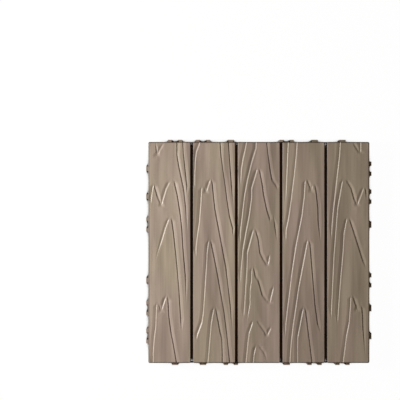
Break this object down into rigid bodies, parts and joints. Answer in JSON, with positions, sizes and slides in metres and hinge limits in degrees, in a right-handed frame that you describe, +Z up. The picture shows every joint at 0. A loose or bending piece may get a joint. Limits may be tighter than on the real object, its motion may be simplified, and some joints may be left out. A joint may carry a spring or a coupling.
{
  "type": "interlocking deck tile",
  "caption": "Square slatted outdoor floor tile with a deep wood grain, on ribbed feet, with posts and sockets that push together along every edge.",
  "frame": {"origin": "on the ground under the middle of the tile", "axes": "+Z up through the walking surface, +Y along the slats, +X across them"},
  "size_m": [0.3028, 0.3028, 0.019],
  "materials": {
    "tile_plastic": "matte taupe, moulded wood grain"
  },
  "bodies": {
    "root": {"deck_tile": "tile_plastic"}
  },
  "joints": []
}
